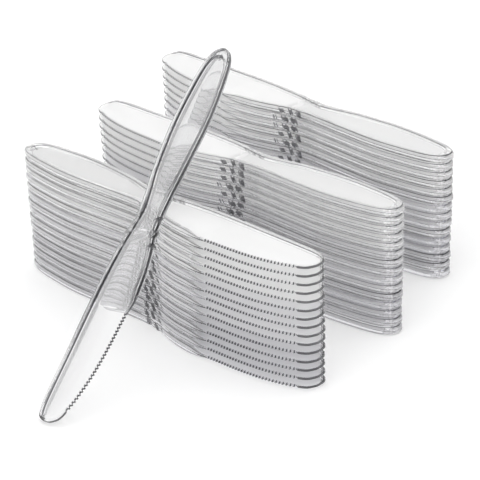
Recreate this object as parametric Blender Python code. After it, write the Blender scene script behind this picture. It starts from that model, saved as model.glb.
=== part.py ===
"""A pack of clear disposable table knives: three stacks of flat-lying knives and one leaning knife.

Every knife is one moulded piece with an I-shaped section: a thin web at mid height, a raised rim
round the handle and along the spine, a guard-side rim from the neck to the serration, and a thin
serrated cutting edge. All knives are the same, so they share one mesh.

A knife lies along +X from its handle's end, with its cutting edge toward +Y and its lower
rim face at Z = 0. Sizes are in metres.
"""

import math
import random

import bmesh
import bpy
from mathutils import Matrix, Vector

# Knife, lengthwise
HANDLE_LENGTH = 0.0850
BLADE_LENGTH = 0.1050
SERRATION_FROM_NECK = 0.0490
SERRATION_FROM_TIP = 0.0060
RIM_RUNOUT = 0.0035
NECK_BLEND = 0.0210

# Knife, crosswise, measured from its axis
HANDLE_HALF_WIDTH = 0.0097
NECK_HALF_WIDTH = 0.0066
NECK_SHIFT = 0.0008
SPINE_OFFSET = 0.0108
BELLY_OFFSET = 0.0131
TIP_SHIFT = 0.0029

# Section
RIM_HEIGHT = 0.00367
TIP_RIM_HEIGHT = 0.0030
RIM_WIDTH = 0.0021
NECK_RIM_WIDTH = 0.0028
RIM_BULGE = 0.0006
RIM_SLOPE = 0.0005
WEB_THICKNESS = 0.0011
EDGE_BEVEL = 0.0020

# Serration
TOOTH_PITCH = 0.0017
TOOTH_DEPTH = 0.0006

# Stacks: where each bottom knife lies, seen from the front stack's
KNIVES_PER_STACK = 15
LAYER_GAP = 0.0003
MIDDLE_STACK_X = -0.0126
MIDDLE_STACK_Y = 0.0553
MIDDLE_STACK_YAW = math.radians(3.3)
BACK_STACK_X = -0.0377
BACK_STACK_Y = 0.1095
BACK_STACK_YAW = math.radians(1.9)

# Creep: how far each stack's top knife lies from its bottom knife
FRONT_CREEP_X = 0.0022
FRONT_CREEP_Y = 0.0002
FRONT_CREEP_YAW = math.radians(0.9)
MIDDLE_CREEP_X = 0.0018
MIDDLE_CREEP_Y = 0.0009
MIDDLE_CREEP_YAW = math.radians(1.5)
BACK_CREEP_X = 0.0025
BACK_CREEP_Y = 0.0016
BACK_CREEP_YAW = math.radians(1.2)

# Scatter of single knives round that line
HAND_SHIFT = 0.00020
HAND_YAW = math.radians(0.10)

# Leaning knife: it crosses the front stack's top knife this far from that knife's handle end
LEAN_TILT = math.radians(34.2)
LEAN_HEADING = math.radians(-69.5)
LEAN_CROSSING = 0.1034
LEAN_GAP = 0.0003

KNIFE_LENGTH = HANDLE_LENGTH + BLADE_LENGTH
LAYER_PITCH = RIM_HEIGHT + LAYER_GAP
TOP_LAYER = KNIVES_PER_STACK - 1
STACK_HEIGHT = TOP_LAYER * LAYER_PITCH + RIM_HEIGHT
GUARD_LENGTH = SERRATION_FROM_NECK - RIM_RUNOUT
RIM_END = HANDLE_LENGTH + GUARD_LENGTH
SERRATION_START = HANDLE_LENGTH + SERRATION_FROM_NECK
SERRATION_END = KNIFE_LENGTH - SERRATION_FROM_TIP

# Handle outline, the same on both sides: (share of handle length, share of its half width)
HANDLE_CURVE = ((0.010, 0.27), (0.035, 0.49), (0.094, 0.69), (0.235, 0.88), (0.46, 1.0), (0.73, 0.88))
# Spine from the neck to the tip: (share of blade length, share of the spine's offset)
SPINE_CURVE = ((0.14, 0.70), (0.38, 0.88), (0.67, 0.95), (0.90, 1.0), (0.97, 0.93), (0.994, 0.66))
# Guard from the neck to the rim's end, then the edge from there to the tip: (share of that
# stretch, share of the belly's offset)
GUARD_CURVE = ((0.23, 0.61), (0.46, 0.80), (0.72, 0.95), (1.0, 1.0))
EDGE_CURVE = ((0.0, 0.94), (0.29, 0.85), (0.51, 0.74), (0.74, 0.52), (0.89, 0.28), (0.97, 0.08))

# How many straight runs stand in for the serrated edge's curve
EDGE_RUNS = 3
# How finely the stack's top edge is sampled, and how often the leaning knife is settled on it
LINE_STEPS = 240
SETTLE_ROUNDS = 12


def curve_through(points):
    """A smooth curve through (x, y) points that never overshoots them."""
    steps = [(b[0] - a[0], b[1] - a[1]) for a, b in zip(points, points[1:])]
    slopes = [dy / dx for dx, dy in steps]
    tangents = [slopes[0]]
    for (dx0, _), (dx1, _), s0, s1 in zip(steps, steps[1:], slopes, slopes[1:]):
        if s0 * s1 <= 0:
            tangents.append(0.0)
            continue
        w0 = 2 * dx1 + dx0
        w1 = dx1 + 2 * dx0
        tangents.append((w0 + w1) / (w0 / s0 + w1 / s1))
    tangents.append(slopes[-1])

    def value(x):
        i = 0
        while i < len(points) - 2 and x > points[i + 1][0]:
            i += 1
        (x0, y0), (x1, y1) = points[i], points[i + 1]
        h = x1 - x0
        t = min(max((x - x0) / h, 0.0), 1.0)
        start = (1 + 2 * t) * (1 - t) ** 2 * y0 + t * (1 - t) ** 2 * h * tangents[i]
        end = t * t * (3 - 2 * t) * y1 + t * t * (t - 1) * h * tangents[i + 1]
        return start + end

    return value


def stretch(curve, start, length, offset=1.0):
    """A curve of shares laid out in metres along the knife."""
    return [(start + along * length, share * offset) for along, share in curve]


def handle_points(neck_half_width):
    points = [(0.0, 0.0)] + stretch(HANDLE_CURVE, 0.0, HANDLE_LENGTH, HANDLE_HALF_WIDTH)
    return points + [(HANDLE_LENGTH, neck_half_width)]


def spine_side():
    """Distance of the spine's outline from the knife's axis, from the handle's end to the tip."""
    points = handle_points(NECK_HALF_WIDTH - NECK_SHIFT)
    points += stretch(SPINE_CURVE, HANDLE_LENGTH, BLADE_LENGTH, SPINE_OFFSET)
    return curve_through(points + [(KNIFE_LENGTH, TIP_SHIFT)])


def edge_side():
    """Distance of the cutting side's outline from the axis, from the handle's end to the tip."""
    points = handle_points(NECK_HALF_WIDTH + NECK_SHIFT)
    points += stretch(GUARD_CURVE, HANDLE_LENGTH, GUARD_LENGTH, BELLY_OFFSET)
    points += stretch(EDGE_CURVE, SERRATION_START, KNIFE_LENGTH - SERRATION_START, BELLY_OFFSET)
    return curve_through(points + [(KNIFE_LENGTH, -TIP_SHIFT)])


SPINE_SIDE = spine_side()
EDGE_SIDE = edge_side()


def outline():
    """The knife's outline as (x, y, is cutting edge), once round from the handle's end."""
    handle = [x for x, _ in stretch(HANDLE_CURVE, 0.0, HANDLE_LENGTH)] + [HANDLE_LENGTH]
    guard = [x for x, _ in stretch(GUARD_CURVE[1:], HANDLE_LENGTH, GUARD_LENGTH)]
    edge_end = stretch(EDGE_CURVE[-1:], SERRATION_START, KNIFE_LENGTH - SERRATION_START)[0][0]
    spine = [x for x, _ in stretch(SPINE_CURVE[1:2] + SPINE_CURVE[3:], HANDLE_LENGTH, BLADE_LENGTH)]
    points = [(0.0, 0.0, False)]
    for x in handle + guard:
        points.append((x, EDGE_SIDE(x), False))
    for run in range(EDGE_RUNS + 1):
        x = SERRATION_START + run / EDGE_RUNS * (SERRATION_END - SERRATION_START)
        points.append((x, EDGE_SIDE(x), True))
    points.append((edge_end, EDGE_SIDE(edge_end), False))
    points.append((KNIFE_LENGTH, -TIP_SHIFT, False))
    for x in reversed(handle + spine):
        points.append((x, -SPINE_SIDE(x), False))
    return points


def inward(points, index):
    """The direction into the knife at an outline point, lengthened for a constant inset.

    The outline runs clockwise seen from above, so the knife is on the right of each step.
    """
    here = Vector(points[index][:2])
    before = (here - Vector(points[index - 1][:2])).normalized()
    after = (Vector(points[(index + 1) % len(points)][:2]) - here).normalized()
    normal = Vector((after.y + before.y, -(after.x + before.x))).normalized()
    spread = max(normal.dot(Vector((after.y, -after.x))), 0.5)
    return normal / spread


def rim_height(x):
    """Full height up to the guard rim's end, then slightly lower toward the tip."""
    share = min(max((x - RIM_END) / (KNIFE_LENGTH - RIM_END), 0.0), 1.0)
    return RIM_HEIGHT + (TIP_RIM_HEIGHT - RIM_HEIGHT) * share


def rim_width(x):
    """The rim is widest at the neck."""
    near_neck = max(0.0, 1.0 - abs(x - HANDLE_LENGTH) / NECK_BLEND)
    return RIM_WIDTH + (NECK_RIM_WIDTH - RIM_WIDTH) * near_neck


def section_rows(x, cutting):
    """The section's upper half as (inset, height above mid plane), from the web outward.

    At the cutting edge all three rows lie on the bevel's inner line, and are merged later.
    """
    web = WEB_THICKNESS / 2
    if cutting:
        return [(EDGE_BEVEL, web)] * 3
    half = rim_height(x) / 2
    width = rim_width(x)
    return [(width + RIM_SLOPE, web), (width, half), (RIM_BULGE, half)]


def section_column(bm, points, index):
    """Vertices of the section at one outline point: upper rows, outermost point, lower rows."""
    x, y, cutting = points[index]
    normal = inward(points, index)
    rows = section_rows(x, cutting)
    mid = RIM_HEIGHT / 2
    column = []
    for inset, height in rows:
        column.append(bm.verts.new((x + normal.x * inset, y + normal.y * inset, mid + height)))
    column.append(bm.verts.new((x, y, mid)))
    for inset, height in reversed(rows):
        column.append(bm.verts.new((x + normal.x * inset, y + normal.y * inset, mid - height)))
    return column


def tooth_points(x_from, x_to):
    """Valleys and crests of the serration strictly between two stations on the edge."""
    teeth = round((SERRATION_END - SERRATION_START) / TOOTH_PITCH)
    half_pitch = (SERRATION_END - SERRATION_START) / (2 * teeth)
    points = []
    for step in range(1, 2 * teeth):
        x = SERRATION_START + step * half_pitch
        if x_from + half_pitch / 4 < x < x_to - half_pitch / 4:
            depth = TOOTH_DEPTH if step % 2 else 0.0
            points.append((x, EDGE_SIDE(x) - depth))
    return points


def fan(bm, inner, edge_line):
    """Triangles from two inner vertices to the line of vertices along the cutting edge."""
    middle = len(edge_line) // 2
    for a, b in zip(edge_line[:middle], edge_line[1:middle + 1]):
        bm.faces.new((inner[0], a, b))
    bm.faces.new((inner[0], edge_line[middle], inner[1]))
    for a, b in zip(edge_line[middle:], edge_line[middle + 1:]):
        bm.faces.new((inner[1], a, b))


def serrated_run(bm, points, columns, i):
    """Both bevels of the cutting edge between two neighbouring section columns."""
    near, far = columns[i], columns[i + 1]
    teeth = tooth_points(points[i][0], points[i + 1][0])
    verts = [bm.verts.new((x, y, RIM_HEIGHT / 2)) for x, y in teeth]
    edge_line = [near[3]] + verts + [far[3]]
    fan(bm, (near[2], far[2]), edge_line)
    fan(bm, (near[4], far[4]), edge_line)


def knife_mesh(name):
    """One knife as a closed mesh: rings of section columns, serrated edge and flat web."""
    bm = bmesh.new()
    points = outline()
    columns = [section_column(bm, points, i) for i in range(len(points))]
    rows = len(columns[0])
    for i, column in enumerate(columns):
        after = (i + 1) % len(columns)
        if points[i][2] and points[after][2]:
            serrated_run(bm, points, columns, i)
            continue
        for row in range(rows - 1):
            corners = (column[row], column[row + 1], columns[after][row + 1], columns[after][row])
            bm.faces.new(corners)
    webs = [bm.faces.new([column[row] for column in columns]) for row in (0, rows - 1)]
    bmesh.ops.triangulate(bm, faces=webs, ngon_method="BEAUTY")
    bmesh.ops.remove_doubles(bm, verts=bm.verts, dist=1e-6)
    bmesh.ops.recalc_face_normals(bm, faces=bm.faces)
    mesh = bpy.data.meshes.new(name)
    bm.to_mesh(mesh)
    bm.free()
    mesh.shade_smooth()
    mesh.set_sharp_from_angle(angle=math.radians(30))
    # An empty material slot, which each knife object fills for itself
    mesh.materials.append(None)
    return mesh


def clear_plastic(name):
    material = bpy.data.materials.new(name)
    material.use_nodes = True
    shader = material.node_tree.nodes["Principled BSDF"]
    shader.inputs["Base Color"].default_value = (0.93, 0.94, 0.95, 1.0)
    shader.inputs["Roughness"].default_value = 0.06
    shader.inputs["Metallic"].default_value = 0.0
    shader.inputs["IOR"].default_value = 1.57
    shader.inputs["Transmission Weight"].default_value = 0.95
    return material


def knife_object(name, mesh):
    """A knife object with a material of its own, over the mesh that all knives share."""
    knife = bpy.data.objects.new(name, mesh)
    bpy.context.collection.objects.link(knife)
    knife.material_slots[0].link = "OBJECT"
    knife.material_slots[0].material = clear_plastic(name + "_plastic")
    return knife


def stack_holder(name, place, yaw):
    holder = bpy.data.objects.new(name, None)
    bpy.context.collection.objects.link(holder)
    holder.location = (place[0], place[1], 0.0)
    holder.rotation_euler = (0.0, 0.0, yaw)
    return holder


def lay_knife(knife, layer, middle, yaw, turned_over):
    """Lays a knife flat, centred on a point, with its cutting edge toward -Y.

    Handle at -X, or at +X if it is turned over.
    """
    base = layer * LAYER_PITCH
    half = Vector((math.cos(yaw), math.sin(yaw))) * KNIFE_LENGTH / 2
    if turned_over:
        knife.location = (middle.x + half.x, middle.y + half.y, base)
        knife.rotation_euler = (0.0, 0.0, math.pi + yaw)
    else:
        knife.location = (middle.x - half.x, middle.y - half.y, base + RIM_HEIGHT)
        knife.rotation_euler = (math.pi, 0.0, yaw)


def build_stack(name, mesh, place, yaw, creep, creep_yaw, turned_over, draw):
    """A stack on its own holder, whose knives creep evenly from the bottom one to the top one."""
    holder = stack_holder(name, place, yaw)
    knives = []
    for layer in range(KNIVES_PER_STACK):
        knife = knife_object(f"{name}_knife_{layer + 1:02d}", mesh)
        knife.parent = holder
        share = layer / TOP_LAYER
        scatter = Vector((draw.uniform(-HAND_SHIFT, HAND_SHIFT), draw.uniform(-HAND_SHIFT, HAND_SHIFT)))
        turn = creep_yaw * share + draw.uniform(-HAND_YAW, HAND_YAW)
        lay_knife(knife, layer, Vector(creep) * share + scatter, turn, turned_over)
        knives.append(knife)
    return knives


def lean_frame():
    """The leaning knife's axes: along it to its tip, toward its cutting edge, and its upper side.

    Its flat side lies along the stack's top edge, which runs along X.
    """
    level = math.cos(LEAN_TILT)
    along = Vector((level * math.cos(LEAN_HEADING), level * math.sin(LEAN_HEADING),
                    -math.sin(LEAN_TILT)))
    upper = along.cross(Vector((1.0, 0.0, 0.0))).normalized()
    if upper.z < 0:
        upper = -upper
    return along, upper.cross(along), upper


def crossing_gap(top_points, origin, axes):
    """The smallest height of the leaning knife's flat side above the stack points beneath it."""
    along, across, upper = axes
    heights = []
    for point in top_points:
        offset = point - origin
        x = offset.dot(along)
        if not 0.0 < x < KNIFE_LENGTH:
            continue
        if -SPINE_SIDE(x) - RIM_WIDTH < offset.dot(across) < EDGE_SIDE(x) + RIM_WIDTH:
            heights.append(-offset.dot(upper))
    return min(heights) if heights else 0.0


def rim_line(knife):
    """Points along the upper outer edges of a stack's top knife, in world space."""
    lines = []
    for step in range(1, LINE_STEPS):
        x = KNIFE_LENGTH * step / LINE_STEPS
        for y in (EDGE_SIDE(x) - RIM_BULGE, -SPINE_SIDE(x) + RIM_BULGE):
            for z in (0.0, RIM_HEIGHT):
                lines.append(knife.matrix_world @ Vector((x, y, z)))
        for y in (EDGE_SIDE(x), -SPINE_SIDE(x)):
            lines.append(knife.matrix_world @ Vector((x, y, RIM_HEIGHT / 2)))
    return lines


def place_leaning_knife(knife, top_knife):
    """Tip on the ground, flat side resting on the top edge of the stack."""
    axes = lean_frame()
    turn = Matrix(axes).transposed()
    lowest = min((turn @ vertex.co).z for vertex in knife.data.vertices)
    origin = Vector((0.0, 0.0, -lowest))
    stack_points = rim_line(top_knife)
    reach = (origin.z - STACK_HEIGHT) / math.tan(LEAN_TILT)
    run = reach * math.cos(LEAN_HEADING) / abs(math.sin(LEAN_HEADING))
    origin.x = top_knife.matrix_world.translation.x + LEAN_CROSSING - run
    origin.y = min(point.y for point in stack_points) + reach
    for _ in range(SETTLE_ROUNDS):
        origin.y += (LEAN_GAP - crossing_gap(stack_points, origin, axes)) / axes[2].y
    knife.matrix_world = Matrix.Translation(origin) @ turn.to_4x4()


def centre_on_ground(holders, knives):
    """Moves everything so that the origin is the bottom centre of the whole pack's box."""
    bpy.context.view_layer.update()
    corners = []
    for knife in knives:
        corners.extend(knife.matrix_world @ vertex.co for vertex in knife.data.vertices)
    middle_x = (min(c.x for c in corners) + max(c.x for c in corners)) / 2
    middle_y = (min(c.y for c in corners) + max(c.y for c in corners)) / 2
    lowest = min(c.z for c in corners)
    for thing in holders:
        thing.location -= Vector((middle_x, middle_y, lowest))


def build_pack():
    mesh = knife_mesh("knife")
    draw = random.Random(7)
    front = build_stack("front_stack", mesh, (0.0, 0.0), 0.0,
                        (FRONT_CREEP_X, FRONT_CREEP_Y), FRONT_CREEP_YAW, False, draw)
    middle = build_stack("middle_stack", mesh, (MIDDLE_STACK_X, MIDDLE_STACK_Y), MIDDLE_STACK_YAW,
                         (MIDDLE_CREEP_X, MIDDLE_CREEP_Y), MIDDLE_CREEP_YAW, True, draw)
    back = build_stack("back_stack", mesh, (BACK_STACK_X, BACK_STACK_Y), BACK_STACK_YAW,
                       (BACK_CREEP_X, BACK_CREEP_Y), BACK_CREEP_YAW, True, draw)
    leaning = knife_object("leaning_knife", mesh)
    bpy.context.view_layer.update()
    place_leaning_knife(leaning, front[-1])
    holders = [front[0].parent, middle[0].parent, back[0].parent, leaning]
    centre_on_ground(holders, front + middle + back + [leaning])


for old in list(bpy.data.objects):
    bpy.data.objects.remove(old, do_unlink=True)
build_pack()
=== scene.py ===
"""The looks of a pack of clear disposable knives: three stacks and one knife leaning on the front one.

Each knife of the frame is replaced by a finely moulded one of the same size, in clear plastic, on a
white studio floor. Sizes are in metres.
"""

import math
import random

import bmesh
import bpy
import numpy as np
from mathutils import Matrix, Vector


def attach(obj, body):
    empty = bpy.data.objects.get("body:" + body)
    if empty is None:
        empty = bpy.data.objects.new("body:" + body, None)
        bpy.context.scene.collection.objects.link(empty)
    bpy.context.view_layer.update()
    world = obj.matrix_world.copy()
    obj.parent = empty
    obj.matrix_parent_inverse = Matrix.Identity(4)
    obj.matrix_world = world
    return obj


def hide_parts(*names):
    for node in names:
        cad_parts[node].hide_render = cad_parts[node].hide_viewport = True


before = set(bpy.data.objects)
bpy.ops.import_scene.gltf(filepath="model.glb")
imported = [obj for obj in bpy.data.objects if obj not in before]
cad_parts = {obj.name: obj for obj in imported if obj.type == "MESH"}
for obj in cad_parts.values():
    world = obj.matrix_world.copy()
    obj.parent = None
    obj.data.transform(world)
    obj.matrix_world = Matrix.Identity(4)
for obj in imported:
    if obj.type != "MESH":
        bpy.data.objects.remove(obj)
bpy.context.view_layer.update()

# Knife, lengthwise from the handle's end
HANDLE_LENGTH = 0.0850
BLADE_LENGTH = 0.1050
SERRATION_FROM_NECK = 0.0505
SERRATION_FROM_TIP = 0.0060
RIM_RUNOUT = 0.0050
GUARD_RUNOUT = 0.0130
NECK_BLEND = 0.0210

# Knife, crosswise, measured from its axis
HANDLE_HALF_WIDTH = 0.0097
NECK_HALF_WIDTH = 0.0066
NECK_SHIFT = 0.0008
SPINE_OFFSET = 0.0108
BELLY_OFFSET = 0.0131
TIP_SHIFT = 0.0029

# The finer knife is this much smaller than the faceted one, so that it stays inside its box
LENGTH_FIT = 0.9988
WIDTH_FIT = 0.983

# Section: half heights above the mid plane, and widths from the outline inward
RIM_HALF_HEIGHT = 0.00181
TIP_RIM_HALF_HEIGHT = 0.0015
RIM_WIDTH = 0.0021
NECK_RIM_WIDTH = 0.0028
WEB_HALF = 0.00055
EDGE_LAND = 0.0011
EDGE_ROUND = 0.00014
PARTING_LINE = 0.00011
EDGE_PARTING_GROWTH = 2.0

# Rounding of the rim, from the web outward: its foot as (out from the rim, above the web), its inner
# and outer crown as (in from that side, below the top), and how far its outer wall leans in
RIM_FOOT = ((0.00050, 0.0), (0.00022, 0.00008), (0.00006, 0.00030))
INNER_CROWN = ((0.00008, 0.00036), (0.00022, 0.00007), (0.00042, 0.0))
OUTER_CROWN = ((0.00046, 0.0), (0.00026, 0.00006), (0.00008, 0.00036))
OUTER_WALL_LEAN = 0.00004

# Ends: the handle's channel starts after a wide land and a long ramp, and both ends have a draft.
# The shares say how much of the ramp and of the draft each row of the foot and the outer crown takes
END_LAND = 0.0024
END_RAMP = 0.0016
END_REACH = 0.0100
END_DRAFT = 0.0010
RAMP_SHARES = (1.0, 1.0, 0.8)
DRAFT_SHARES = (1.0, 1.0, 0.6)

# The rim thins to an edge just short of the tip
TIP_EDGE_REACH = 0.0025
TIP_EDGE_RUNOUT = 0.0060

# Bolster: a low ridge across the web, and steps in and out of the rim's outer face as (from, to, out),
# which differ between the mould's two cavities
BOLSTER_AT = 0.0970
BOLSTER_WIDTH = 0.0024
BOLSTER_HEIGHT = 0.0007
BOLSTER_ARCH = 0.0014
BOLSTER_PROFILE = (0.0, 0.75, 1.0, 0.75, 0.0)
BOLSTER_SEARCH = 0.7 * BOLSTER_WIDTH
BOLSTER_COLUMNS = 10
FIRST_CAVITY = ((0.0872, 0.0902, 0.0006), (0.0924, 0.0954, -0.0006), (0.0978, 0.1006, 0.0005))
SECOND_CAVITY = ((0.0888, 0.0922, -0.0006), (0.0942, 0.0976, 0.0006), (0.1000, 0.1024, -0.0004))
LEANING_CAVITY = ((0.0880, 0.0906, -0.0010), (0.0945, 0.0975, 0.0010), (0.1010, 0.1034, -0.0008))
STEP_RUN = 0.0015
NECK_SLANT = 0.0010
OUTER_FACE = 0.0010

# Warp that each knife keeps from its mould, well under the gap between two layers, and how far its
# bolster lies from the next knife's
WARP_BOW = 0.00010
WARP_TWIST = 0.00010
NECK_SHIFT_SPREAD = 0.0009
NECK_REACH = 0.0100
DRAW_SEED = 11

# Serration
TOOTH_PITCH = 0.0017
TOOTH_DEPTH = 0.0008
CREST_SHARE = 0.34
VALLEY_START = 0.5

KNIFE_LENGTH = HANDLE_LENGTH + BLADE_LENGTH
GUARD_LENGTH = SERRATION_FROM_NECK - RIM_RUNOUT
RIM_END = HANDLE_LENGTH + GUARD_LENGTH
SERRATION_START = HANDLE_LENGTH + SERRATION_FROM_NECK
SERRATION_END = KNIFE_LENGTH - SERRATION_FROM_TIP

# Outline as in the frame: (share of a stretch's length, share of its width)
HANDLE_CURVE = ((0.010, 0.27), (0.035, 0.49), (0.094, 0.69), (0.235, 0.88), (0.46, 1.0), (0.73, 0.88))
SPINE_CURVE = ((0.14, 0.70), (0.38, 0.88), (0.67, 0.95), (0.90, 1.0), (0.97, 0.93), (0.994, 0.66))
GUARD_CURVE = ((0.23, 0.61), (0.46, 0.80), (0.72, 0.95), (1.0, 1.0))
EDGE_CURVE = ((0.0, 0.94), (0.29, 0.85), (0.51, 0.74), (0.74, 0.52), (0.89, 0.28), (0.97, 0.08))

# How closely the outline is sampled: along straight stretches, and round the ends and the bolster
LONG_STEP = 0.0018
FINE_STEP = 0.0006
END_STRETCH = 0.0120
BOLSTER_STRETCH = 0.0125
OUTLINE_SAMPLES = 2400
OUTLINE_POINTS = 4200
ROUNDING_PASSES = 90
NORMAL_REACH = 3
MERGE_DISTANCE = 2e-6
SHARP_ANGLE = math.radians(38)

# Strips of the section, counted from the web outward to the parting line on the rim's outer face
(FOOT, HEEL, INNER_WALL, INNER_ROUND, INNER_CREST, RIM_TOP, OUTER_CREST, OUTER_ROUND, HIGH_WALL,
 LOW_WALL, PARTING) = range(11)

# Finishes of a knife, in the order of its material slots, some of them painted shade, and the strips that
# show as painted shade lines; the smallest step of the bolster that is painted dark on the low wall and on
# the high one; and the shares of the rim below which it counts as an edge, and below which its lines end
BLADE_WEB, POLISHED, SHADE_LINE, SHADED_TEETH, SHADED_STEP, HANDLE_WEB = range(6)
STACKED_SHADE_LINES = (INNER_ROUND, OUTER_ROUND, PARTING)
LEANING_SHADE_LINES = (HEEL, INNER_WALL, OUTER_ROUND, LOW_WALL, PARTING)
LOW_STEP = 0.00010
HIGH_STEP = 0.00022
EDGE_SHARE = 0.5
LINE_END_SHARE = 0.02

# Clear polystyrene: polish and its spread, the share of light let through, what its shadow keeps,
# and the height of its ripples
REFRACTION = 1.55
STACKED_WEB = dict(polish=0.22, spread=0.03, clearness=0.40, shadow=0.96, ripple=0.00002)
STACKED_RIM = dict(polish=0.0, spread=0.04, clearness=0.80, shadow=0.94, ripple=0.00005)
LEANING_WEB = dict(polish=0.0, spread=0.006, clearness=0.84, shadow=0.98, ripple=0.0000006)
LEANING_RIM = dict(polish=0.0, spread=0.04, clearness=1.0, shadow=0.94, ripple=0.00005)
LINE = dict(polish=0.04, spread=0.06, clearness=1.0, shadow=0.9, ripple=0.00005)
CUT = dict(polish=0.08, spread=0.10, clearness=1.0, shadow=0.9, ripple=0.00005)

# Tints of the plastic. The three levels of a stack of five layers each are painted shade, darker lower
# down where less light gets in; the lines and the cuts of the serration and the neck are painted shade
# too, dark where the plastic shows dark; the leaning knife's tint and the clouds are the plastic's own
LEVEL_SHADE_TINTS = (("low", (0.87, 0.868, 0.885)), ("middle", (0.94, 0.938, 0.948)), ("high", (1.0, 1.0, 1.0)))
LAYERS_PER_LEVEL = 5
LEANING_TINT = (0.89, 0.89, 0.895)
CLOUD_SHARE = 0.99
SHADE_LINE_NAMES = ("dark", "grey", "light")
SHADE_LINE_BLUE_SHARE = 1.1
LEANING_SHADE_LINE = 0.07
SERRATION_SHADE = (0.03, 0.03, 0.035)
STEP_SHADE = (0.10, 0.10, 0.105)
CUT_SHADE_CLOUD = (0.015, 0.015, 0.02)

# The front stack and those behind it: painted shade on the handle's web, as the share of the tint it keeps,
# and the tints of the painted shade lines, lighter behind
STACK_SHADES = (("front", 0.86, (0.015, 0.09, 0.30)), ("behind", 0.91, (0.03, 0.17, 0.44)))
LEANING_HANDLE_SHADE = 0.9

# Studio: a matt floor just under the knives that glows a little, a large lamp from the front left,
# and a darker band overhead that only the plastic shows, as (sine of its height, brightness)
FLOOR_SIZE = 8.0
FLOOR_DROP = 0.0002
FLOOR_WHITE = 0.94
FLOOR_GLOW = 0.07
LAMP_FROM = Vector((0.18, -0.86, 0.47))
LAMP_STRENGTH = 1.2
LAMP_SPREAD = math.radians(50)
OVERHEAD_BAND = ((0.72, 1.0), (0.80, 0.30), (0.90, 0.30), (0.95, 1.0))

# Camera, at the photograph's angle
CAMERA_AZIMUTH = math.radians(51.53)
CAMERA_ELEVATION = math.radians(25.04)
CAMERA_ROLL = math.radians(-4.13)
CAMERA_DISTANCE = 1.43317
CAMERA_TARGET = Vector((0.03433, 0.01486, 0.0350))
FOCAL_PIXELS = 3300.9
PHOTO_PIXELS = 480
SENSOR_WIDTH = 36.0
NEAREST_SEEN = 0.05
FARTHEST_SEEN = 20.0


def curve_through(points):
    """A smooth curve through (x, y) points that never overshoots them, for arrays of x."""
    xs = np.array([p[0] for p in points])
    ys = np.array([p[1] for p in points])
    h = np.diff(xs)
    slopes = np.diff(ys) / h
    tangents = np.zeros(len(xs))
    tangents[0], tangents[-1] = slopes[0], slopes[-1]
    for i in range(1, len(xs) - 1):
        if slopes[i - 1] * slopes[i] > 0:
            w0 = 2 * h[i] + h[i - 1]
            w1 = h[i] + 2 * h[i - 1]
            tangents[i] = (w0 + w1) / (w0 / slopes[i - 1] + w1 / slopes[i])

    def value(x):
        i = np.clip(np.searchsorted(xs, x, side="right") - 1, 0, len(h) - 1)
        t = np.clip((x - xs[i]) / h[i], 0.0, 1.0)
        start = (1 + 2 * t) * (1 - t) ** 2 * ys[i] + t * (1 - t) ** 2 * h[i] * tangents[i]
        end = t * t * (3 - 2 * t) * ys[i + 1] + t * t * (t - 1) * h[i] * tangents[i + 1]
        return start + end

    return value


def stretch(curve, start, length, offset):
    """A curve of shares laid out in metres along the knife."""
    return [(start + along * length, share * offset) for along, share in curve]


def handle_points(neck_half_width):
    """The handle's outline on one side, up to the neck."""
    points = [(0.0, 0.0)] + stretch(HANDLE_CURVE, 0.0, HANDLE_LENGTH, HANDLE_HALF_WIDTH)
    return points + [(HANDLE_LENGTH, neck_half_width)]


def spine_side():
    """The outline's spine side, as the distance from the knife's axis."""
    points = handle_points(NECK_HALF_WIDTH - NECK_SHIFT)
    points += stretch(SPINE_CURVE, HANDLE_LENGTH, BLADE_LENGTH, SPINE_OFFSET)
    return curve_through(points + [(KNIFE_LENGTH, TIP_SHIFT)])


def edge_side():
    """The outline's edge side, as the distance from the knife's axis."""
    points = handle_points(NECK_HALF_WIDTH + NECK_SHIFT)
    points += stretch(GUARD_CURVE, HANDLE_LENGTH, GUARD_LENGTH, BELLY_OFFSET)
    points += stretch(EDGE_CURVE, SERRATION_START, KNIFE_LENGTH - SERRATION_START, BELLY_OFFSET)
    return curve_through(points + [(KNIFE_LENGTH, -TIP_SHIFT)])


SPINE_SIDE = spine_side()
EDGE_SIDE = edge_side()


def softened(points, passes):
    """Rounds a closed line of points by averaging neighbours."""
    for _ in range(passes):
        points = (np.roll(points, 1, 0) + 2 * points + np.roll(points, -1, 0)) / 4
    return points


def dense_outline():
    """The knife's outline as a closed line of points 0.1 mm or less apart, with its ends rounded."""
    x = np.sin(np.linspace(0.0, 1.0, OUTLINE_SAMPLES) * math.pi / 2) ** 2 * KNIFE_LENGTH
    edge = np.column_stack([x, EDGE_SIDE(x)])
    spine = np.column_stack([x, -SPINE_SIDE(x)])[::-1]
    points = np.vstack([edge[:-1], spine[:-1]])
    along = np.concatenate([[0.0], np.cumsum(np.linalg.norm(np.diff(points, axis=0), axis=1))])
    even = np.linspace(0.0, along[-1], OUTLINE_POINTS)
    points = np.column_stack([np.interp(even, along, points[:, i]) for i in range(2)])
    return softened(points[:-1], ROUNDING_PASSES)


def sample_step(x):
    """How far apart the outline's stations are at a place along the knife."""
    near_end = min(x, KNIFE_LENGTH - x) < END_STRETCH
    beside_bolster = abs(x - BOLSTER_AT) < BOLSTER_STRETCH
    return FINE_STEP if near_end or beside_bolster else LONG_STEP


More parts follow.
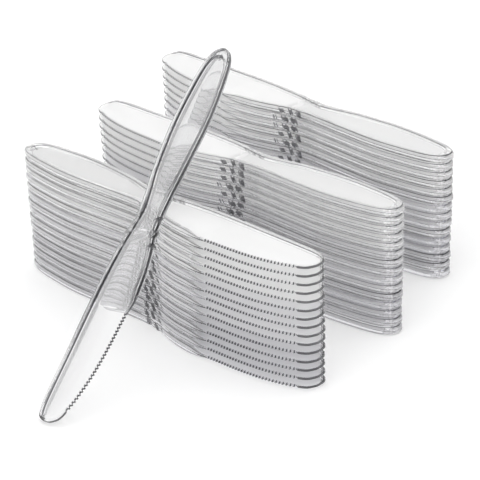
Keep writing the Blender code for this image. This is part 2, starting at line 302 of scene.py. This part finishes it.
def outline_stations():
    """Stations round the outline as (point, inward direction, depth of cut, whether serrated).

    The outline runs along the edge to the tip and back along the spine, with the knife on the right.
    """
    points = dense_outline()
    ahead = np.roll(points, -NORMAL_REACH, 0) - np.roll(points, NORMAL_REACH, 0)
    normals = np.column_stack([ahead[:, 1], -ahead[:, 0]])
    normals /= np.linalg.norm(normals, axis=1)[:, None]
    steps = np.linalg.norm(np.roll(points, -1, 0) - points, axis=1)
    on_edge = (points[:, 1] > 0) & (points[:, 0] > SERRATION_START) & (points[:, 0] < SERRATION_END)
    stations = []
    travelled = 0.0
    for i in range(len(points)):
        travelled += steps[i]
        if on_edge[i]:
            if i and not on_edge[i - 1]:
                stations += serrated_stations(points, normals, on_edge)
            travelled = 0.0
            continue
        if travelled >= sample_step(points[i][0]):
            stations.append((points[i], normals[i], 0.0, False))
            travelled = 0.0
    return stations


def serrated_stations(points, normals, on_edge):
    """Four stations a tooth: both ends of its crest and of the valley beside it."""
    xs = points[on_edge][:, 0]
    teeth = round((SERRATION_END - SERRATION_START) / TOOTH_PITCH)
    pitch = (xs[-1] - xs[0]) / teeth
    crest = ((0.0, 0.0), (CREST_SHARE, 0.0))
    valley = ((VALLEY_START, 1.0), (VALLEY_START + CREST_SHARE, 1.0))
    stations = []
    for tooth in range(teeth):
        for share, depth in crest + valley:
            x = xs[0] + (tooth + share) * pitch
            point = np.array([np.interp(x, xs, points[on_edge][:, i]) for i in range(2)])
            normal = np.array([np.interp(x, xs, normals[on_edge][:, i]) for i in range(2)])
            stations.append((point, normal, depth * TOOTH_DEPTH, True))
    return stations


def eased(share):
    """A share held between 0 and 1, with soft ends."""
    share = min(max(float(share), 0.0), 1.0)
    return share * share * (3 - 2 * share)


def rim_share(point, serrated):
    """1 where the rim is full, 0 where only the thin edge is left, with run-outs between."""
    x, y = point
    if serrated:
        return 0.0
    if y > -TIP_SHIFT and x > SERRATION_START - GUARD_RUNOUT:
        return eased((SERRATION_START - x) / GUARD_RUNOUT)
    past_tip = math.hypot(x - KNIFE_LENGTH, y + TIP_SHIFT)
    return eased((past_tip - TIP_EDGE_REACH) / TIP_EDGE_RUNOUT) if x > SERRATION_END else 1.0


def near_bolster(x):
    """1 at the bolster, fading to 0 a little way from it."""
    return math.exp(-((x - BOLSTER_AT) / NECK_REACH) ** 2)


def neck_offset(x, steps):
    """How far the rim's outer face stands in at the bolster; outward steps count as negative."""
    inset = 0.0
    for start, end, out in steps:
        rise = min(max((x - start) / STEP_RUN, 0.0), 1.0)
        fall = min(max((end - x) / STEP_RUN, 0.0), 1.0)
        inset -= out * min(rise, fall)
    return inset


def rim_rows(x):
    """The rim's upper half as (inset, height), from the web outward."""
    toward_tip = min(max((x - RIM_END) / (KNIFE_LENGTH - RIM_END), 0.0), 1.0)
    top = RIM_HALF_HEIGHT + (TIP_RIM_HALF_HEIGHT - RIM_HALF_HEIGHT) * toward_tip
    near_neck = max(0.0, 1.0 - abs(x - HANDLE_LENGTH) / NECK_BLEND)
    near_handle_end = max(0.0, 1.0 - x / END_REACH) ** 2
    near_tip = max(0.0, 1.0 - (KNIFE_LENGTH - x) / END_REACH)
    width = RIM_WIDTH + (NECK_RIM_WIDTH - RIM_WIDTH) * near_neck + END_LAND * near_handle_end
    ramp = END_RAMP * near_handle_end
    draft = END_DRAFT * max(near_handle_end, near_tip)
    foot = [(width + out + share * ramp, WEB_HALF + up) for (out, up), share in zip(RIM_FOOT, RAMP_SHARES)]
    inner = [(width - inset, top - down) for inset, down in INNER_CROWN]
    outer = [(inset + share * draft, top - down) for (inset, down), share in zip(OUTER_CROWN, DRAFT_SHARES)]
    return foot + inner + outer + [(OUTER_WALL_LEAN, 0.5 * top), (0.0, PARTING_LINE)]


def edge_rows():
    """The thin edge's upper half in as many rows: most of them coincide and are merged later."""
    land = [(EDGE_LAND, WEB_HALF)] * 5
    corner = [(EDGE_ROUND, WEB_HALF)] * 3
    return land + corner + [(0.0, WEB_HALF - EDGE_ROUND), (0.0, 0.5 * WEB_HALF), (0.0, PARTING_LINE)]


def section_rows(point, serrated):
    """The section's upper half at a station, between the full rim and the thin edge."""
    share = rim_share(point, serrated)
    x = float(point[0])
    rows = []
    for (rim_inset, rim_z), (edge_inset, edge_z) in zip(rim_rows(x), edge_rows()):
        inset = edge_inset + (rim_inset - edge_inset) * share
        rows.append((inset, edge_z + (rim_z - edge_z) * share))
    if not serrated:
        rows[-1] = (rows[-1][0], PARTING_LINE * (1 + EDGE_PARTING_GROWTH * (1 - share)))
    return rows


def section_column(bm, station, steps):
    """Vertices of the section at one station, from the upper web line round to the lower one."""
    point, normal, depth, serrated = station
    rows = section_rows(point, serrated)
    column = []
    for side in (1, -1):
        ordered = rows if side == 1 else reversed(rows)
        for inset, z in ordered:
            outside = inset < OUTER_FACE
            inward = inset + depth + neck_offset(float(point[0]), steps) if outside else inset
            x, y = point + normal * inward
            x = KNIFE_LENGTH / 2 + (x - KNIFE_LENGTH / 2) * LENGTH_FIT
            if outside:
                x += side * z / RIM_HALF_HEIGHT * NECK_SLANT * near_bolster(x)
            column.append(bm.verts.new((x, y * WIDTH_FIT, side * z)))
    return column


def bolster_stations(columns, spine):
    """The five columns of one side whose web ends carry the bolster's ridge, handle side first."""
    ys = [c[0].co.y for c in columns]
    found = []
    for i, column in enumerate(columns):
        same_side = ys[i] < 0 if spine else ys[i] > 0
        if same_side and abs(column[0].co.x - BOLSTER_AT) < BOLSTER_SEARCH:
            found.append(i)
    found.sort(key=lambda i: columns[i][0].co.x)
    middle = len(found) // 2
    return found[middle - 2:middle + 3]


def bolster_ridge(bm, spine_verts, edge_verts, side):
    """A low arched ridge across the web; returns its first and last line of vertices."""
    grid = []
    for start, end, height in zip(spine_verts, edge_verts, BOLSTER_PROFILE):
        line = [start]
        for step in range(1, BOLSTER_COLUMNS):
            t = step / BOLSTER_COLUMNS
            place = start.co.lerp(end.co, t)
            hump = min(1.0, 4 * t, 4 * (1 - t))
            place.x -= BOLSTER_ARCH * 4 * t * (1 - t)
            place.z += side * BOLSTER_HEIGHT * height * hump
            line.append(bm.verts.new(place))
        grid.append(line + [end])
    for near, far in zip(grid, grid[1:]):
        for step in range(BOLSTER_COLUMNS):
            bm.faces.new((near[step], near[step + 1], far[step + 1], far[step]))
    return grid[0], grid[-1]


def web_faces(bm, columns, row, side):
    """The web's flat face in two parts, handle channel and blade, joined by the bolster's ridge."""
    spine = bolster_stations(columns, True)
    edge = bolster_stations(columns, False)
    near, far = bolster_ridge(bm, [columns[i][row] for i in spine], [columns[i][row] for i in edge], side)
    count = len(columns)
    blade = [columns[i % count][row] for i in range(edge[-1], spine[-1] + 1)]
    handle_start = spine[0]
    handle_end = edge[0] + count
    handle = [columns[i % count][row] for i in range(handle_start, handle_end + 1)]
    webs = [bm.faces.new(blade + far[1:-1]), bm.faces.new(handle + near[::-1][1:-1])]
    webs[1].material_index = HANDLE_WEB
    return webs


def surface_of(row, rows, near, far, steps, painted_shade, crest):
    """Which finish a side face between two stations has.

    The strips that show as lines get painted shade, dark tints where the rounded plastic shows dark, and so
    do the teeth's flanks, the thin edge round the tip and the steps at the bolster.
    """
    near_point, _, near_depth, near_serrated = near
    far_point, _, far_depth, far_serrated = far
    strip = min(row, rows - 2 - row)
    if near_serrated != far_serrated:
        return SHADE_LINE if strip >= LOW_WALL else POLISHED
    if strip >= INNER_CREST and near_serrated and near_depth != far_depth:
        return SHADED_TEETH if near_depth < far_depth or strip >= LOW_WALL else POLISHED
    if near_serrated:
        return crest if strip >= HIGH_WALL else POLISHED
    share = min(rim_share(near_point, False), rim_share(far_point, False))
    if strip >= RIM_TOP and share < EDGE_SHARE and near_point[0] > SERRATION_END:
        return SHADED_STEP
    step = abs(neck_offset(near_point[0], steps) - neck_offset(far_point[0], steps))
    if strip >= LOW_WALL and step > LOW_STEP or strip == HIGH_WALL and step > HIGH_STEP:
        return SHADED_STEP
    shown = share > LINE_END_SHARE or near_point[0] < SERRATION_START
    return SHADE_LINE if strip in painted_shade and shown else POLISHED


def knife_mesh(steps, painted_shade, crest):
    """One finely moulded knife along +X from its handle's end, with its mid plane at Z = 0."""
    bm = bmesh.new()
    stations = outline_stations()
    columns = [section_column(bm, station, steps) for station in stations]
    rows = len(columns[0])
    for i, column in enumerate(columns):
        after = (i + 1) % len(columns)
        for row in range(rows - 1):
            corners = (column[row], column[row + 1], columns[after][row + 1], columns[after][row])
            face = bm.faces.new(corners)
            ends = stations[i], stations[after]
            face.material_index = surface_of(row, rows, *ends, steps, painted_shade, crest)
    webs = web_faces(bm, columns, 0, 1) + web_faces(bm, columns, rows - 1, -1)
    for face in bm.faces:
        face.smooth = True
    for face in webs:
        face.smooth = False
    bmesh.ops.triangulate(bm, faces=webs, ngon_method="BEAUTY")
    bmesh.ops.remove_doubles(bm, verts=bm.verts, dist=MERGE_DISTANCE)
    bmesh.ops.recalc_face_normals(bm, faces=bm.faces)
    mesh = bpy.data.meshes.new("moulded_knife")
    bm.to_mesh(mesh)
    bm.free()
    mesh.set_sharp_from_angle(angle=SHARP_ANGLE)
    return mesh


def knife_place(node):
    """Where a knife of the frame lies, read from its vertices and its largest flat face.

    Its handle end and tip are its two farthest points. The serration's many vertices pull the
    average toward the blade and the cutting edge, which tells the two ends and sides apart.
    """
    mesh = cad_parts[node].data
    largest = max(mesh.polygons, key=lambda face: face.area)
    upper = largest.normal.copy()
    points = np.unique(np.array([v.co for v in mesh.vertices]).round(6), axis=0)
    average = points.mean(axis=0)
    gaps = np.linalg.norm(points[:, None] - points[None], axis=2)
    one, other = np.unravel_index(gaps.argmax(), gaps.shape)
    ends = [points[one], points[other]]
    if (average - (ends[0] + ends[1]) / 2) @ (ends[1] - ends[0]) < 0:
        ends.reverse()
    handle_end, tip = Vector(ends[0]), Vector(ends[1])
    along = (tip - handle_end).normalized()
    if upper.cross(along).dot(Vector(average) - handle_end) < 0:
        upper = -upper
    across = upper.cross(along)
    # The tip lies a little to the spine's side of the knife's own axis
    turn = math.atan2(TIP_SHIFT, KNIFE_LENGTH)
    x_axis = along * math.cos(turn) + across * math.sin(turn)
    y_axis = across * math.cos(turn) - along * math.sin(turn)
    place = Matrix((x_axis, y_axis, upper)).transposed().to_4x4()
    place.translation = handle_end
    return place


def socket(group, name, kind, way, value=None):
    """An input or output on a node group's outside."""
    made = group.interface.new_socket(name=name, in_out=way, socket_type=kind)
    if value is not None:
        made.default_value = value


def noise(nodes, links, place, size, detail):
    """A noise pattern whose marks are about one size across, in metres."""
    pattern = nodes.new("ShaderNodeTexNoise")
    pattern.inputs["Detail"].default_value = detail
    links.new(place, pattern.inputs["Vector"])
    scale = nodes.new("ShaderNodeMath")
    scale.operation = "DIVIDE"
    scale.inputs[0].default_value = 1.0
    links.new(size, scale.inputs[1])
    links.new(scale.outputs[0], pattern.inputs["Scale"])
    return pattern.outputs["Fac"]


def moulding_marks():
    """Flow clouds, uneven polish and shrink ripples that moulded plastic keeps, as a node group."""
    group = bpy.data.node_groups.new("moulding_marks", "ShaderNodeTree")
    socket(group, "Clear Tint", "NodeSocketColor", "INPUT", (1.0, 1.0, 1.0, 1.0))
    socket(group, "Cloud Tint", "NodeSocketColor", "INPUT", (0.95, 0.95, 1.0, 1.0))
    socket(group, "Cloud Size", "NodeSocketFloat", "INPUT", 0.03)
    socket(group, "Polish", "NodeSocketFloat", "INPUT", 0.05)
    socket(group, "Polish Spread", "NodeSocketFloat", "INPUT", 0.04)
    socket(group, "Ripple Size", "NodeSocketFloat", "INPUT", 0.006)
    socket(group, "Tint", "NodeSocketColor", "OUTPUT")
    socket(group, "Roughness", "NodeSocketFloat", "OUTPUT")
    socket(group, "Height", "NodeSocketFloat", "OUTPUT")
    nodes, links = group.nodes, group.links
    given = nodes.new("NodeGroupInput")
    result = nodes.new("NodeGroupOutput")
    place = nodes.new("ShaderNodeTexCoord").outputs["Object"]
    tint = nodes.new("ShaderNodeMix")
    tint.data_type = "RGBA"
    links.new(noise(nodes, links, place, given.outputs["Cloud Size"], 1.0), tint.inputs["Factor"])
    links.new(given.outputs["Clear Tint"], tint.inputs["A"])
    links.new(given.outputs["Cloud Tint"], tint.inputs["B"])
    links.new(tint.outputs["Result"], result.inputs["Tint"])
    ripple = noise(nodes, links, place, given.outputs["Ripple Size"], 1.0)
    uneven = nodes.new("ShaderNodeMath")
    uneven.operation = "MULTIPLY_ADD"
    links.new(ripple, uneven.inputs[0])
    links.new(given.outputs["Polish Spread"], uneven.inputs[1])
    links.new(given.outputs["Polish"], uneven.inputs[2])
    links.new(uneven.outputs[0], result.inputs["Roughness"])
    links.new(ripple, result.inputs["Height"])
    return group


def clear_plastic(marks, name, clear, cloud, polish, spread, clearness, shadow, ripple):
    """Clear polystyrene with moulding marks, which lets most of the light through to what it shades."""
    material = bpy.data.materials.new(name)
    material.use_nodes = True
    nodes, links = material.node_tree.nodes, material.node_tree.links
    shader = nodes["Principled BSDF"]
    shader.inputs["IOR"].default_value = REFRACTION
    shader.inputs["Transmission Weight"].default_value = clearness
    surface = nodes.new("ShaderNodeGroup")
    surface.node_tree = marks
    surface.inputs["Clear Tint"].default_value = (*clear, 1.0)
    surface.inputs["Cloud Tint"].default_value = (*cloud, 1.0)
    surface.inputs["Polish"].default_value = polish
    surface.inputs["Polish Spread"].default_value = spread
    links.new(surface.outputs["Tint"], shader.inputs["Base Color"])
    links.new(surface.outputs["Roughness"], shader.inputs["Roughness"])
    bump = nodes.new("ShaderNodeBump")
    bump.inputs["Strength"].default_value = 1.0
    bump.inputs["Distance"].default_value = ripple
    links.new(surface.outputs["Height"], bump.inputs["Height"])
    links.new(bump.outputs[0], shader.inputs["Normal"])
    light_through = nodes.new("ShaderNodeBsdfTransparent")
    light_through.inputs["Color"].default_value = (shadow, shadow, shadow, 1.0)
    path = nodes.new("ShaderNodeLightPath")
    both = nodes.new("ShaderNodeMixShader")
    links.new(path.outputs["Is Shadow Ray"], both.inputs["Fac"])
    links.new(shader.outputs[0], both.inputs[1])
    links.new(light_through.outputs[0], both.inputs[2])
    links.new(both.outputs[0], nodes["Material Output"].inputs["Surface"])
    return material


def shared_plastic(marks, name, clear, cloud, finish):
    """A clear plastic made once and used again under its name."""
    return bpy.data.materials.get(name) or clear_plastic(marks, name, clear, cloud, **finish)


def knife_finishes(marks, stack, level, tint, web, rim, shade_line_name, line, handle_shade):
    """The finishes of a knife in the order of its material slots, with painted shade in its lines,
    serration, neck steps and handle web.
    """
    cloud = tuple(part * CLOUD_SHARE for part in tint)
    # Painted shade: the lines are tinted dark where the rounded plastic shows dark
    painted_shade = (line, line, line * SHADE_LINE_BLUE_SHARE)
    # Painted shade: the handle's web is darker than the blade's, in place of the darker reflection it shows
    handle = [tuple(part * handle_shade for part in each) for each in (tint, cloud)]
    return [shared_plastic(marks, f"{stack}_{level}_web", tint, cloud, web),
            shared_plastic(marks, f"{level}_rim", tint, cloud, rim),
            shared_plastic(marks, f"{stack}_{shade_line_name}_shaded_fillet", painted_shade, painted_shade, LINE),
            # Painted shade: the serration, the neck's steps and the thin edge round the tip are tinted
            # nearly black
            shared_plastic(marks, "serration", SERRATION_SHADE, CUT_SHADE_CLOUD, CUT),
            shared_plastic(marks, "shaded_neck_step", STEP_SHADE, CUT_SHADE_CLOUD, CUT),
            shared_plastic(marks, f"{stack}_{level}_handle", *handle, web)]


def stacked_finishes(marks):
    """The finishes of the stacked knives by stack and level, painted darker lower down as painted shade,
    with darker and lighter painted shade lines to draw from.
    """
    found = {}
    for stack, handle_shade, lines in STACK_SHADES:
        for level, tint in LEVEL_SHADE_TINTS:
            # The level's tint is painted shade: darker lower in the stack, where less light gets in
            given = (marks, stack, level, tint, STACKED_WEB, STACKED_RIM)
            found[stack, level] = [knife_finishes(*given, name, line, handle_shade)
                                   for name, line in zip(SHADE_LINE_NAMES, lines)]
    return found


def level_of(node):
    """The level of a stacked knife, from the number of its layer."""
    layer = int(node[-2:])
    return LEVEL_SHADE_TINTS[(layer - 1) // LAYERS_PER_LEVEL][0]


def warp(mesh, draw, share):
    """Bends and twists a knife a little about its mid plane, as it came out of its mould."""
    bow = draw.uniform(-WARP_BOW, WARP_BOW) * share
    twist = draw.uniform(-WARP_TWIST, WARP_TWIST) * share
    neck = draw.uniform(-NECK_SHIFT_SPREAD, NECK_SHIFT_SPREAD)
    for vertex in mesh.vertices:
        along = vertex.co.x / KNIFE_LENGTH * 2 - 1
        vertex.co.z += bow * (1 - along * along) + twist * along * vertex.co.y / BELLY_OFFSET
        vertex.co.x += neck * near_bolster(vertex.co.x)


def place_knives():
    """Puts a moulded knife in the place of each of the frame's; the bottom ones lie flat, unwarped."""
    draw = random.Random(DRAW_SEED)
    marks = moulding_marks()
    cavities = [knife_mesh(steps, STACKED_SHADE_LINES, POLISHED) for steps in (FIRST_CAVITY, SECOND_CAVITY)]
    leaning_mesh = knife_mesh(LEANING_CAVITY, LEANING_SHADE_LINES, SHADED_TEETH)
    stacked = stacked_finishes(marks)
    leaning = knife_finishes(marks, "leaning", "alone", LEANING_TINT, LEANING_WEB, LEANING_RIM, "alone",
                             LEANING_SHADE_LINE, LEANING_HANDLE_SHADE)
    for node in sorted(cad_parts):
        if node == "leaning_knife":
            placed, finishes = leaning_mesh.copy(), leaning
        else:
            stack = "front" if node.startswith("front") else "behind"
            placed = draw.choice(cavities).copy()
            finishes = draw.choice(stacked[stack, level_of(node)])
            warp(placed, draw, 0.0 if node.endswith("01") else 1.0)
        placed.name = "moulded_" + node
        for finish in finishes:
            placed.materials.append(finish)
        placed.transform(knife_place(node))
        knife = bpy.data.objects.new("moulded_" + node, placed)
        bpy.context.scene.collection.objects.link(knife)
        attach(knife, "root")
        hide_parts(node)


def seen_by_plastic(nodes, links):
    """1 for light that comes off or through the plastic, and 0 for all other light."""
    path = nodes.new("ShaderNodeLightPath")
    either = nodes.new("ShaderNodeMath")
    either.operation = "MAXIMUM"
    links.new(path.outputs["Is Transmission Ray"], either.inputs[0])
    links.new(path.outputs["Is Glossy Ray"], either.inputs[1])
    return either.outputs[0]


def studio_floor():
    """A matt white floor that keeps the knives' shadows and shows plain white through them."""
    bpy.ops.mesh.primitive_plane_add(size=FLOOR_SIZE, location=(0.0, 0.0, -FLOOR_DROP))
    floor = bpy.context.object
    floor.name = "studio_floor"
    material = bpy.data.materials.new("white_floor")
    material.use_nodes = True
    nodes, links = material.node_tree.nodes, material.node_tree.links
    nodes.clear()
    out = nodes.new("ShaderNodeOutputMaterial")
    diffuse = nodes.new("ShaderNodeBsdfDiffuse")
    diffuse.inputs["Color"].default_value = (FLOOR_WHITE, FLOOR_WHITE, FLOOR_WHITE, 1.0)
    glow = nodes.new("ShaderNodeEmission")
    glow.inputs["Strength"].default_value = FLOOR_GLOW
    total = nodes.new("ShaderNodeAddShader")
    links.new(diffuse.outputs[0], total.inputs[0])
    links.new(glow.outputs[0], total.inputs[1])
    white = nodes.new("ShaderNodeEmission")
    seen = nodes.new("ShaderNodeMixShader")
    links.new(seen_by_plastic(nodes, links), seen.inputs["Fac"])
    links.new(total.outputs[0], seen.inputs[1])
    links.new(white.outputs[0], seen.inputs[2])
    links.new(seen.outputs[0], out.inputs["Surface"])
    floor.data.materials.append(material)


def overhead_band(nodes, links):
    """The room as the plastic shows it: white, with a darker band high overhead."""
    place = nodes.new("ShaderNodeTexCoord")
    split = nodes.new("ShaderNodeSeparateXYZ")
    links.new(place.outputs["Generated"], split.inputs[0])
    ramp = nodes.new("ShaderNodeValToRGB")
    links.new(split.outputs["Z"], ramp.inputs[0])
    stops = ramp.color_ramp.elements
    for stop, position in zip(stops, (0.0, 1.0)):
        stop.position = position
        stop.color = (1.0, 1.0, 1.0, 1.0)
    for position, value in OVERHEAD_BAND:
        stops.new(position).color = (value, value, value, 1.0)
    return ramp.outputs[0]


def studio_light():
    """A white room, and a large lamp from the front left."""
    world = bpy.data.worlds.new("studio")
    bpy.context.scene.world = world
    world.use_nodes = True
    nodes, links = world.node_tree.nodes, world.node_tree.links
    nodes.clear()
    out = nodes.new("ShaderNodeOutputWorld")
    mix = nodes.new("ShaderNodeMix")
    mix.data_type = "RGBA"
    links.new(seen_by_plastic(nodes, links), mix.inputs["Factor"])
    mix.inputs["A"].default_value = (1.0, 1.0, 1.0, 1.0)
    links.new(overhead_band(nodes, links), mix.inputs["B"])
    background = nodes.new("ShaderNodeBackground")
    links.new(mix.outputs["Result"], background.inputs["Color"])
    links.new(background.outputs[0], out.inputs["Surface"])
    data = bpy.data.lights.new("front_lamp", "SUN")
    data.energy = LAMP_STRENGTH
    data.angle = LAMP_SPREAD
    lamp = bpy.data.objects.new("front_lamp", data)
    lamp.rotation_euler = LAMP_FROM.to_track_quat("Z", "Y").to_euler()
    bpy.context.scene.collection.objects.link(lamp)


def photo_camera():
    """The camera at the photograph's angle."""
    back = Vector((math.sin(CAMERA_AZIMUTH) * math.cos(CAMERA_ELEVATION),
                   -math.cos(CAMERA_AZIMUTH) * math.cos(CAMERA_ELEVATION),
                   math.sin(CAMERA_ELEVATION)))
    level = Vector((math.cos(CAMERA_AZIMUTH), math.sin(CAMERA_AZIMUTH), 0.0))
    upright = back.cross(level)
    right = level * math.cos(CAMERA_ROLL) + upright * math.sin(CAMERA_ROLL)
    up = upright * math.cos(CAMERA_ROLL) - level * math.sin(CAMERA_ROLL)
    data = bpy.data.cameras.new("photo_camera")
    data.sensor_width = SENSOR_WIDTH
    data.lens = FOCAL_PIXELS * SENSOR_WIDTH / PHOTO_PIXELS
    data.clip_start = NEAREST_SEEN
    data.clip_end = FARTHEST_SEEN
    camera = bpy.data.objects.new("photo_camera", data)
    bpy.context.scene.collection.objects.link(camera)
    place = Matrix((right, up, back)).transposed().to_4x4()
    place.translation = CAMERA_TARGET + back * CAMERA_DISTANCE
    camera.matrix_world = place
    bpy.context.scene.camera = camera


def render_look():
    """Plain colours, and enough bounces for light to cross a whole stack."""
    scene = bpy.context.scene
    scene.view_settings.view_transform = "Standard"
    scene.cycles.max_bounces = 32
    scene.cycles.transmission_bounces = 32
    scene.cycles.glossy_bounces = 16
    scene.cycles.transparent_max_bounces = 128


photo_camera()
place_knives()
studio_floor()
studio_light()
render_look()
